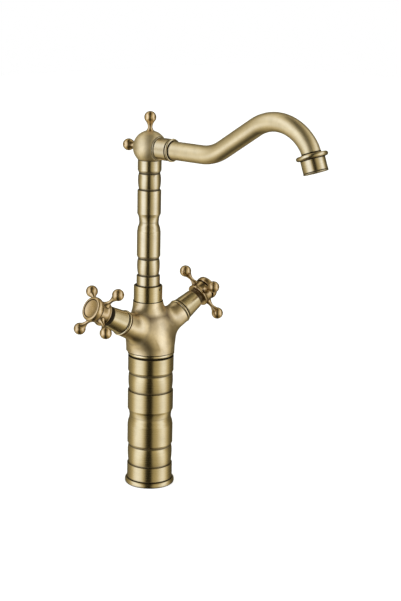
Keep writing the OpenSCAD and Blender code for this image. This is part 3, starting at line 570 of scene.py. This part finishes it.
CORE = np.array((0.0, 0.0, ARM_Z))
CORE_R = 22.6
FOOT_R = 24.4
FOOT_TOP = 164
FOOT_ROUNDING = 12
NECK_R = 15.5
NECK_FOOT = 150.0
ARM_R = 13.2
ARMS_BLEND = 3.0
FOOT_BLEND = 4.0
BODY_BLEND = 13.0
NECK_BLEND = 15.0
ARM_DIRS = [np.array((s * math.cos(ARM_ANGLE), 0, math.sin(ARM_ANGLE))) for s in (-1, 1)]


def soft_min(a, b, k):
    """The smaller of a and b, blended where they differ by less than k."""
    h = np.maximum(k - np.abs(a - b), 0) / k
    return np.minimum(a, b) - h * h * k / 4


def casting_forms(p):
    """Distances from the core, the foot, the arms and the neck."""
    q = p - CORE
    core = np.linalg.norm(q, axis=1) - CORE_R
    foot = np.stack([np.hypot(p[:, 0], p[:, 1]) - (FOOT_R - FOOT_ROUNDING),
                     p[:, 2] - (FOOT_TOP - FOOT_ROUNDING)], axis=1)
    foot = np.linalg.norm(np.maximum(foot, 0), axis=1) + np.minimum(foot.max(axis=1), 0) - FOOT_ROUNDING
    neck = np.maximum(np.hypot(p[:, 0], p[:, 1] - POST_Y) - NECK_R, NECK_FOOT - p[:, 2])
    arms = []
    for d in ARM_DIRS:
        s = q @ d
        arms.append(np.maximum(np.linalg.norm(q - np.outer(s, d), axis=1) - ARM_R, -s))
    return core, foot, soft_min(*arms, ARMS_BLEND), neck


def casting(p):
    """Distance from the casting's skin before its ends are trimmed."""
    core, foot, arms, neck = casting_forms(p)
    body = soft_min(soft_min(core, foot, FOOT_BLEND), arms, BODY_BLEND)
    return soft_min(body, neck, NECK_BLEND)


def skin_normals(p, h=0.05):
    """Normals of the casting's skin, from how casting() changes over a distance h."""
    g = np.empty_like(p)
    for k in range(3):
        e = np.zeros(3)
        e[k] = h
        g[:, k] = (casting(p + e) - casting(p - e)) / (2 * h)
    return g / np.maximum(np.linalg.norm(g, axis=1), 1e-9)[:, None]


def surface_net(lo, hi, step):
    """Quads round the skin of casting() in a box: one point for each cell that the skin crosses."""
    n = [int(round((b - a) / step)) + 1 for a, b in zip(lo, hi)]
    lines = [np.linspace(a, b, k) for a, b, k in zip(lo, hi, n)]
    grid = np.stack(np.meshgrid(*lines, indexing="ij"), axis=3)
    value = casting(grid.reshape(-1, 3)).reshape(n)
    inside = value < 0
    corners = [(i, j, k) for i in (0, 1) for j in (0, 1) for k in (0, 1)]
    cells = [k - 1 for k in n]
    count = np.zeros(cells, int)
    for i, j, k in corners:
        count += inside[i:i + cells[0], j:j + cells[1], k:k + cells[2]]
    used = (count > 0) & (count < 8)
    index = np.full(cells, -1)
    index[used] = np.arange(used.sum())
    # The point of a cell is the mean of where the skin crosses the cell's edges
    at = np.argwhere(used)
    spot = np.zeros((len(at), 3))
    weight = np.zeros(len(at))
    for a in range(8):
        for b in range(a + 1, 8):
            ca, cb = np.array(corners[a]), np.array(corners[b])
            if np.abs(ca - cb).sum() != 1:
                continue
            va = value[tuple((at + ca).T)]
            vb = value[tuple((at + cb).T)]
            cross = (va < 0) != (vb < 0)
            t = np.where(cross, va / np.where(cross, va - vb, 1), 0)
            place = at + ca + np.outer(t, cb - ca)
            spot[cross] += place[cross]
            weight[cross] += 1
    points = np.array(lo) + spot / weight[:, None] * step
    # Each edge of the grid that the skin crosses gets a quad between the four cells round it
    faces = []
    for axis in range(3):
        u, v = (axis + 1) % 3, (axis + 2) % 3
        low = [slice(None)] * 3
        high = [slice(None)] * 3
        low[axis], high[axis] = slice(0, -1), slice(1, None)
        flips = np.argwhere(inside[tuple(low)] != inside[tuple(high)])
        at_u, at_v = flips[:, u], flips[:, v]
        flips = flips[(at_u > 0) & (at_u < cells[u]) & (at_v > 0) & (at_v < cells[v])]
        ring = []
        for du, dv in ((1, 1), (0, 1), (0, 0), (1, 0)):
            c = flips.copy()
            c[:, u] -= du
            c[:, v] -= dv
            ring.append(index[tuple(c.T)])
        quad = np.stack(ring, axis=1)
        outwards = inside[tuple(flips.T)]
        quad[~outwards] = quad[~outwards][:, ::-1]
        faces.append(quad)
    return points, np.vstack(faces)


def trim_casting(mesh):
    """Cuts the casting flat at its foot, its neck and both arms' ends."""
    bm = bmesh.new()
    bm.from_mesh(mesh)
    ends = [((0, 0, BODY_FOOT), (0, 0, -1)), ((0, 0, BODY_TOP), (0, 0, 1))]
    ends += [(CORE + d * ARM_END, d) for d in ARM_DIRS]
    for at, out in ends:
        geom = list(bm.verts) + list(bm.edges) + list(bm.faces)
        cut = bmesh.ops.bisect_plane(bm, geom=geom, plane_co=Vector(at) * MM, plane_no=Vector(out),
                                     clear_outer=True, dist=1e-7)
        rim = [e for e in cut["geom_cut"] if isinstance(e, bmesh.types.BMEdge)]
        bmesh.ops.edgeloop_fill(bm, edges=rim)
    bmesh.ops.delete(bm, geom=[v for v in bm.verts if not v.link_faces], context="VERTS")
    bmesh.ops.recalc_face_normals(bm, faces=bm.faces)
    bm.to_mesh(mesh)
    bm.free()


def valve_casting():
    """The valve body's skin, with the normals of its own formula and painted shade in its hollows."""
    points, quads = surface_net((-48, -27, 140), (48, 27, 200), 1.0)
    for _ in range(3):
        points -= skin_normals(points) * casting(points)[:, None]
    mesh = bpy.data.meshes.new("valve_casting")
    mesh.from_pydata((points * MM).tolist(), [], quads.tolist())
    trim_casting(mesh)
    mesh.shade_smooth()
    mesh.set_sharp_from_angle(angle=0.8)
    at = np.empty(len(mesh.vertices) * 3)
    mesh.vertices.foreach_get("co", at)
    at = at.reshape(-1, 3) / MM
    normals = skin_normals(at)[corner_points(mesh)]
    for face in mesh.polygons:
        if len(face.vertices) > 4:
            normals[face.loop_start:face.loop_start + face.loop_total] = np.array(face.normal)
    mesh.normals_split_custom_set(normals.tolist())
    # The deeper the blend fills a hollow between two forms, the darker the painted shade there
    fill = np.minimum.reduce(casting_forms(at)) - casting(at)
    unshaded_fill, full_shade_fill, most_shade = 2.4, 5.4, 0.7
    add_painted_shade(mesh, np.clip((fill - unshaded_fill) / (full_shade_fill - unshaded_fill), 0, 1) * most_shade)
    return add_object("valve_casting", mesh)


finish_piece(valve_casting(), CAST, "base_body", "valve_body")

# Post, ball, finials and hub

POST_R = 12.1
POST_BORE_R = 7.0
POST_HEIGHTS = (223.4, 241.3, 244.3, 269.7, 285.2, 288.2, 312.2, 329.6, 332.6)
SPIGOT_R = 9.95
SPIGOT_FOOT = 184.0
TENON_R = 9.0
TENON_TOP = POST_TOP + 2.5
post = turned("post_shell",
              [(POST_BORE_R, SPIGOT_FOOT, 0), (SPIGOT_R - 0.35, SPIGOT_FOOT, 0.3),
               (SPIGOT_R, SPIGOT_FOOT + 0.6, 0.2), (SPIGOT_R, POST_FOOT, 0), (POST_R, POST_FOOT, 0.2),
               (POST_R, POST_FOOT + 1.5, 0)]
              + waisted_outline(POST_HEIGHTS, b=POST_R, g=10.65, m=11.75, w=10.0, low=0.6, lip=0.25)
              + [(POST_R, POST_TOP - 1.2, 0), (POST_R, POST_TOP, 0.2), (TENON_R, POST_TOP, 0),
                 (TENON_R, TENON_TOP, 0), (POST_BORE_R, TENON_TOP, 0), (POST_BORE_R, SPIGOT_FOOT, 0)],
              POST, grooves=0.85, seams=[(POST_R, POST_FOOT + 0.1, 1.0), (POST_R, POST_TOP + 0.1, 0.8)])
finish_piece(post, POST_BRASS, "spout", "post")

BALL_R = 17.2
ball = turned("ball_joint", arc(0, 0, BALL_R, -90, 45.5, 64) + [(TENON_R, 12.25, 0)], ALONG)
finish_piece(ball, BALL, "spout", "ball_elbow")

KNOB_R = 6.1


def cup_height(reach, cup):
    """Height at which a knob with its centre at reach is as wide as the cup that holds it."""
    return reach - math.sqrt(KNOB_R ** 2 - cup ** 2)


def knob(reach, cup, steps):
    """Outline of a knob, from its cup to its top."""
    low = math.degrees(math.asin((cup_height(reach, cup) - reach) / KNOB_R))
    return arc(0, reach, KNOB_R, low, 90, steps)


def finial(name, reach, place, node):
    """Small knob on a waisted neck, with the knob's centre at reach from the ball's."""
    cup, start = 4.3, 16.46
    rise = cup_height(reach, cup) - start
    neck = [(4.8, 0), (3.85, 0.08), (3.0, 0.19), (2.45, 0.34), (2.35, 0.46), (2.6, 0.63), (3.1, 0.78),
            (3.65, 0.89), (cup, 1)]
    piece = turned(name, [(0, start - 0.3, 0), (4.8, start - 0.3, 0)]
                   + spline([(r, start + rise * t) for r, t in neck]) + knob(reach, cup, 24), place, 64)
    finish_piece(piece, WARM, "spout", node)


finial("top_finial_knob", 30.4, SPOUT, "top_finial")
finial("rear_finial_knob", 29.0, SPOUT @ Matrix.Rotation(-math.pi / 2, 4, "Y"), "rear_finial")

TUBE_R = 9.25
SOCKET_R = TUBE_R + 0.1

# The hub is drawn from its back, which lies against the ball
HUB_BACK = 12.023
HUB_LENGTH = 19.5
HUB_R = 11.2
HUB_GROOVE_R = 10.4
LIP = HUB_LENGTH - 1.4
hub = turned("spout_root",
             [(POST_BORE_R, -2.5, 0), (TENON_R, -2.5, 0), (TENON_R, 0, 0), (10.7, 0, 0.1)]
             + arc(10.9, 1.0, 0.9, -60, 60, 8)
             + [(HUB_GROOVE_R, 1.95, 0.1), (HUB_GROOVE_R, 2.6, 0.1), (HUB_R, 2.75, 0.15),
                (HUB_R, LIP - 2.4, 0.3), (HUB_GROOVE_R, LIP - 2.0, 0.1), (10.3, LIP - 1.4, 0.1)]
             + arc(HUB_GROOVE_R, LIP, 1.3, -75, 75, 10)
             + [(10.3, LIP + 1.4, 0.1), (10.2, LIP + 0.6, 0.1), (SOCKET_R, LIP + 0.6, 0)],
             moved(ALONG, HUB_BACK), grooves=0.6, seams=[(11.0, 0, 0.9)])
finish_piece(hub, POST_BRASS, "spout", "spout_hub")

# Spout tube and aerator. The runs are (length, 0) for a straight one, or (radius, bend in degrees).

TUBE_BORE_R = 7.75
TUBE_START = 23.523
RUNS = [(68.6 - TUBE_START, 0), (48, 33), (46.2, 0), (45.8, -82.5), (1, 0), (28, -20.5), (4, 0)]


def tube_path(runs, step=1.2):
    """Points along and up the tube's centre line, each with its slope in radians."""
    x, z, a = TUBE_START, 0.0, 0.0
    path = [(x, z, a)]
    for length, bend in runs:
        if bend == 0:
            n = max(1, int(length / (3 * step)))
            for i in range(1, n + 1):
                s = length * i / n
                path.append((x + s * math.cos(a), z + s * math.sin(a), a))
        else:
            turn = math.radians(bend)
            radius = math.copysign(length, turn)
            n = max(4, int(abs(turn) * length / step))
            for i in range(1, n + 1):
                b = a + turn * i / n
                dx = radius * (math.sin(b) - math.sin(a))
                dz = radius * (math.cos(a) - math.cos(b))
                path.append((x + dx, z + dz, b))
        x, z, a = path[-1]
    return path


tube = swept("swan_neck", tube_path(RUNS), TUBE_R, TUBE_BORE_R, SPOUT)
finish_piece(tube, TUBE, "spout", "spout_tube")

# The last run lies inside the nozzle
NOZZLE_R = 11.8
NOZZLE_END = 18.1
SEAT_R = 10.45
tip_x, tip_z, tip_a = tube_path(RUNS[:-1])[-1]
TIP = SPOUT @ Matrix.Translation((tip_x, 0, tip_z)) @ Matrix.Rotation(math.pi / 2 - tip_a, 4, "Y")
nozzle = turned("nozzle", [(SOCKET_R, 4.0, 0), (SOCKET_R, 0.45, 0), (12.9, 0.4, 0)]
                + arc(13.25, 2.4, 2.0, -90, 90, 16)
                + [(12.6, 4.4, 0.2), (NOZZLE_R, 4.75, 0.3), (NOZZLE_R, 5.8, 0),
                   (NOZZLE_R, NOZZLE_END - 2.0, 0), (NOZZLE_R, NOZZLE_END - 1.2, 0.2),
                   (NOZZLE_R + 0.15, NOZZLE_END - 1.0, 0.1),
                   (NOZZLE_R + 0.15, NOZZLE_END - 0.3, 0.35), (NOZZLE_R - 0.4, NOZZLE_END, 0.15),
                   (SEAT_R + 0.05, NOZZLE_END, 0.2), (SEAT_R, 4.0, 0), (SOCKET_R, 4.0, 0)],
                TIP, seams=[(NOZZLE_R + 0.2, 4.7, 0.8), (NOZZLE_R, NOZZLE_END - 1.1, 0.6)])
finish_piece(nozzle, POST_BRASS, "spout", "aerator_housing")
# A thin, nearly black ring round the tube where it enters the nozzle: painted shade of the gap there
gap_shade_ring = turned("tip_gap_shade", [(9.26, -1.1, 0), (9.45, -1.05, 0.05), (9.45, 0.35, 0.05), (9.26, 0.4, 0)],
              TIP, 96)
finish_piece(gap_shade_ring, GAP_SHADE, "spout", "spout_tube")

# Arms and handles. Each piece is drawn from where it meets the one before it. The seams of the hot arm get
# darker painted shade than the cold arm's, for the deeper shadow round the hot handle.

def arm_ring(key, arm):
    """Bright rounded ring on the end of the arm."""
    r, bore_r = 12.2, 10.55
    ring = turned(f"{key}_ring", [(bore_r, 0.05, 0), (r, 0.05, 0.1), (r, 0.75, 0.1), (12.6, 0.8, 0.1)]
                  + arc(12.3, 2.25, 1.3, -65, 65)
                  + [(12.6, 3.7, 0.1), (r, 3.75, 0.1), (r, 4.45, 0.1), (bore_r, 4.5, 0), (bore_r, 0.05, 0)],
                  moved(arm, ARM_END), 96, seams=[(r, 0.4, 0.8), (r, 4.1, 0.8)])
    finish_piece(ring, EDGE, "base_body", f"{key}_arm_ring")


def bonnet(key, arm, end_shade):
    """Tapered cover over the valve."""
    length = BONNET_END - RING_END
    foot_r, end_r = 12.45, 9.7
    cover = turned(f"{key}_cover",
                   [(10.6, 0.02, 0), (foot_r, 0.02, 0.15), (foot_r, 0.8, 0.3), (foot_r - 0.25, 1.5, 0.8),
                    (10.52, length - 2.2, 0), (10.4, length - 1.0, 0.6), (end_r, length, 0.5),
                    (6.6, length, 0)],
                   moved(arm, RING_END), 96,
                   seams=[(foot_r, 0, 0.8), (8.2, length + 0.1, 2.2), (9.9, length - 0.4, end_shade)])
    finish_piece(cover, TURNED, "base_body", f"{key}_bonnet")


def handle_hub(key, arm, neck_shade, flange_shade):
    """Neck, flange and drum of the cross handle."""
    length = HUB_END - BONNET_END
    neck_r, flange = 8.2, 4.6
    drum = turned(f"{key}_drum",
                  [(4.1, 0.4, 0), (neck_r - 0.5, 0.4, 0.3), (neck_r, 0.9, 0.3), (neck_r, flange - 0.15, 0.3),
                   (12.1, flange, 0.4), (12.75, flange + 0.7, 0.6)]
                  + spline([(12.65, 6.2), (11.95, 7.4), (11.5, 9.1), (11.4, 11.3), (11.5, 14.6)])
                  + [(11.5, length - 0.7, 0.2), (11.0, length - 0.3, 0.1), (10.6, length, 0),
                     (9.1, length, 0), (9.1, length - 2.1, 0), (2.2, length - 2.1, 0)],
                  moved(arm, BONNET_END), 96,
                  seams=[(8.0, 2.5, neck_shade), (12.6, flange + 0.1, flange_shade),
                         (10.8, length - 0.1, 0.8)])
    finish_piece(drum, WARM, f"{key}_handle", f"{key}_handle_hub")


def handle_cap(key, arm):
    """Domed cap with a ring groove and a shallow dish."""
    foot_r = 10.6
    cap = turned(f"{key}_button", [(0, 0.05, 0), (foot_r, 0.05, 0), (foot_r, 0.6, 0.1), (12.2, 0.7, 0.4)]
                 + spline([(12.5, 1.3), (12.8, 3.0), (12.7, 4.9), (12.1, 6.5), (11.2, 7.25)])
                 + [(10.4, 7.4, 0.5), (9.75, 7.25, 0.1), (9.5, 6.5, 0.1), (9.2, 6.45, 0.1)]
                 + spline([(8.6, 6.6), (6.2, 6.25), (3.2, 5.98), (0, 5.9)]),
                 moved(arm, HUB_END), 96, seams=[(foot_r, 0.3, 1.0), (9.45, 6.5, 0.85)])
    finish_piece(cap, WARM, f"{key}_handle", f"{key}_handle_cap")


def handle_spokes(key, side, turn):
    """Four waisted spokes with ball ends, from inside the hub's drum."""
    foot, reach, cup = 12.0, 28.3, 3.9
    cup_z = cup_height(reach, cup)
    corners = ([(0, 10.7, 0), (3.85, 10.7, 0), (3.9, 11.6, 0.2)]
               + spline([(3.75, foot), (3.1, foot + 1.2), (2.3, foot + 2.9), (1.9, foot + 4.9),
                         (2.0, cup_z - 4.6), (2.45, cup_z - 3.0), (3.05, cup_z - 1.5), (cup, cup_z)])
               + knob(reach, cup, 22))
    for k in range(4):
        spoke = turned(f"{key}_spoke_{k + 1}", corners, spoke_frame(side, turn + 90 * k), 64)
        finish_piece(spoke, WARM, f"{key}_handle", f"{key}_handle_spokes")


# Widths of the painted shade at each bonnet's end, each hub's neck and its flange
for key, side, turn, end_shade, neck_shade, flange_shade in (("hot", -1, HOT_TURN, 1.5, 2.7, 1.0),
                                                          ("cold", 1, COLD_TURN, 0.6, 1.8, 0.3)):
    arm = arm_frame(side)
    arm_ring(key, arm)
    bonnet(key, arm, end_shade)
    handle_hub(key, arm, neck_shade, flange_shade)
    handle_cap(key, arm)
    handle_spokes(key, side, turn)

# The hot handle isn't mirrored in the other pieces, where its image would be a second stripe on the collar
for obj in bpy.data.objects:
    if obj.name.startswith("hot_"):
        obj.visible_glossy = False

# Materials of what stays as the CAD made it

for node, material in (("base_gasket", RUBBER), ("stud_plate", STEEL), ("swivel_grub_screw", BLACK_STEEL),
                       ("swivel_washer", GREY_PLASTIC), ("post_o_rings", RUBBER), ("aerator_gasket", RUBBER),
                       ("aerator_insert", PLASTIC)):
    frame["nodes"][node].data.materials[0] = material
for key in ("hot", "cold"):
    for node, material in (("cartridge", INNER), ("seat_seal", RUBBER), ("fixed_disc", CERAMIC),
                           ("moving_disc", CERAMIC), ("spindle", INNER), ("spindle_o_ring", RUBBER),
                           ("handle_screw", STEEL)):
        frame["nodes"][f"{key}_{node}"].data.materials[0] = material


# Floor

def paper():
    """White paper that glows a little, so that only a faint shadow shows on it."""
    material, add = new_material("paper")
    shader = add("BsdfPrincipled", {"Base Color": (0.9, 0.9, 0.9, 1), "Roughness": 0.9,
                                    "Specular IOR Level": 0.0, "Emission Color": (1, 1, 1, 1),
                                    "Emission Strength": 0.72})
    add("OutputMaterial", {"Surface": shader.outputs[0]})
    return material


FLOOR_HALF = 4000
FLOOR_Z = -0.2
floor_corners = [(x * FLOOR_HALF * MM, y * FLOOR_HALF * MM, FLOOR_Z * MM)
                 for x, y in ((-1, -1), (1, -1), (1, 1), (-1, 1))]
floor_mesh = bpy.data.meshes.new("floor")
floor_mesh.from_pydata(floor_corners, [], [(0, 1, 2, 3)])
floor_mesh.materials.append(paper())
floor = add_object("floor", floor_mesh)
floor.visible_glossy = False

# Camera, as fitted to the photograph. It stands at EYE, and AZIMUTH, to the right of the front, and ELEVATION
# are where it looks from. The picture is PICTURE_PIXELS high, and its focal length is in the same pixels.

AZIMUTH = math.radians(-42.35)
ELEVATION = math.radians(14.12)
ROLL = math.radians(-1.27)
EYE = Vector((-907.14, -1069.95, 551.17)) * MM
FOCAL_PIXELS = 1400
PICTURE_PIXELS = 601
SENSOR = 36

camera_data = bpy.data.cameras.new("camera")
camera_data.sensor_width = SENSOR
camera_data.lens = FOCAL_PIXELS * SENSOR / PICTURE_PIXELS
camera_data.clip_start = 0.05
camera_data.clip_end = 50
camera = add_object("camera", camera_data)
back = Vector((math.sin(AZIMUTH) * math.cos(ELEVATION), -math.cos(AZIMUTH) * math.cos(ELEVATION),
               math.sin(ELEVATION)))
level_right = Vector((math.cos(AZIMUTH), math.sin(AZIMUTH), 0))
level_up = back.cross(level_right)
camera_right = level_right * math.cos(ROLL) - level_up * math.sin(ROLL)
camera_up = level_right * math.sin(ROLL) + level_up * math.cos(ROLL)
camera.matrix_world = axes(camera_right, camera_up, back, EYE)
scene = bpy.context.scene
scene.camera = camera

# Light. Two tall softboxes stand one on each side of the camera, with a dark gap between them and a dim
# back. SIDE_LIGHT is the level at each turn in degrees, with 0 towards the camera and 90 to its right.
# UPWARD is what part of it is left from straight down, 0, to straight up, 1. TONE is the light's colour by
# its level over PEAK: brighter light is also whiter, as a lit box is against warm walls.

SIDE_LIGHT = [(-180, 0.14), (-145, 0.14), (-125, 0.24), (-105, 0.36), (-92, 0.50), (-78, 0.85), (-66, 1.30),
              (-54, 1.50), (-44, 1.50), (-34, 1.35), (-26, 1.00), (-19, 0.48), (-11, 0.03), (7, 0.02),
              (12, 0.28), (16, 0.52), (22, 0.60), (32, 0.78), (44, 1.15), (56, 1.42), (67, 1.35), (78, 0.98),
              (92, 0.48), (106, 0.20), (125, 0.12), (180, 0.14)]
UPWARD = [(0.0, 0.35), (0.12, 0.5), (0.28, 0.9), (0.4, 1.0), (0.8, 1.0), (0.93, 0.62), (1.0, 0.4)]
PEAK = 1.5
TONE_RED = 0.68
TONE = [(0.0, (TONE_RED, 0.62, 0.38)), (0.45, (TONE_RED, 0.64, 0.43)), (0.92, (TONE_RED, 0.775, 0.98))]


def studio():
    """World that metal mirrors as the softboxes and the dark cards, and that the camera sees as white."""
    world = bpy.data.worlds.new("studio")
    world.use_nodes = True
    world.node_tree.nodes.clear()
    add = node_adder(world.node_tree)

    def maths(operation, *values):
        return add("Math", dict(enumerate(values)), operation=operation).outputs[0]

    def ramp(value, stops):
        node = add("ValToRGB", {0: value})
        elements = node.color_ramp.elements
        while len(elements) < len(stops):
            elements.new(0.5)
        for element, (at, colour) in zip(elements, stops):
            element.position = at
            element.color = (*colour, 1)
        return node.outputs[0]

    ray = add("TexCoord").outputs["Generated"]
    x, y, z = add("SeparateXYZ", {0: ray}).outputs
    cosine, sine = math.cos(AZIMUTH), math.sin(AZIMUTH)
    front = maths("ADD", maths("MULTIPLY", x, sine), maths("MULTIPLY", y, -cosine))
    right = maths("ADD", maths("MULTIPLY", x, cosine), maths("MULTIPLY", y, sine))
    depth = maths("ADD", front, maths("MULTIPLY", maths("ABSOLUTE", z), 0.8))
    turn = maths("ADD", maths("DIVIDE", maths("ARCTAN2", right, depth), 2 * math.pi), 0.5)
    level = SIDE_LIGHT[0][1]
    for (turn_0, level_0), (turn_1, level_1) in zip(SIDE_LIGHT, SIDE_LIGHT[1:]):
        stretch = {"Value": turn, "From Min": turn_0 / 360 + 0.5, "From Max": turn_1 / 360 + 0.5,
                   "To Min": 0.0, "To Max": level_1 - level_0}
        change = add("MapRange", stretch, interpolation_type="SMOOTHSTEP")
        level = maths("ADD", change.outputs[0], level)
    height = maths("MULTIPLY", maths("ADD", z, 1.0), 0.5)
    level = maths("MULTIPLY", level, ramp(height, [(at, (part, part, part)) for at, part in UPWARD]))
    tone = ramp(maths("DIVIDE", level, PEAK), TONE)
    light = add("VectorMath", {0: tone, "Scale": maths("DIVIDE", level, TONE_RED)}, operation="SCALE")
    boxes = add("Background", {"Color": light.outputs[0]})
    white = add("Background", {"Color": (1, 1, 1, 1)})
    # The camera sees plain white, also through glass
    rays = add("LightPath")
    seen = maths("MAXIMUM", rays.outputs["Is Camera Ray"], rays.outputs["Is Transmission Ray"])
    both = add("MixShader", {0: seen, 1: boxes.outputs[0], 2: white.outputs[0]})
    add("OutputWorld", {0: both.outputs[0]})
    return world


scene.world = studio()
scene.view_settings.view_transform = "Standard"
